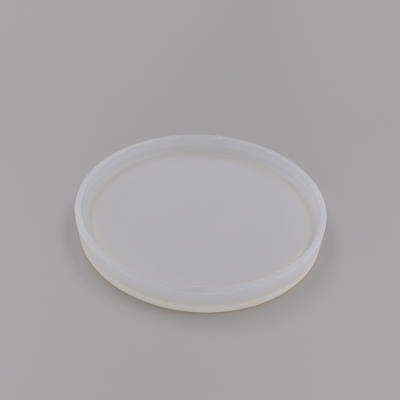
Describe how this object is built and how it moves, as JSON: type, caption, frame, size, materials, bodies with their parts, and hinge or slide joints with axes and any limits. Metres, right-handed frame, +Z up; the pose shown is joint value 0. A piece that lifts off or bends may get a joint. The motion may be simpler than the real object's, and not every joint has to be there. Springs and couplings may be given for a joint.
{
  "type": "round silicone resin mould",
  "caption": "Shallow round one-piece silicone casting mould with a thick flat floor, a low wall and an open cavity for a resin coaster.",
  "frame": {"origin": "centre of the flat underside, on the surface that the mould stands on", "axes": "+Z up along the mould's axis, out of the open cavity; the mould is round, so X and Y are any two level directions"},
  "size_m": [0.105, 0.105, 0.011],
  "materials": {
    "milky_silicone": "satin, milky translucent"
  },
  "bodies": {
    "root": {"silicone_mould": "milky_silicone"}
  },
  "joints": []
}
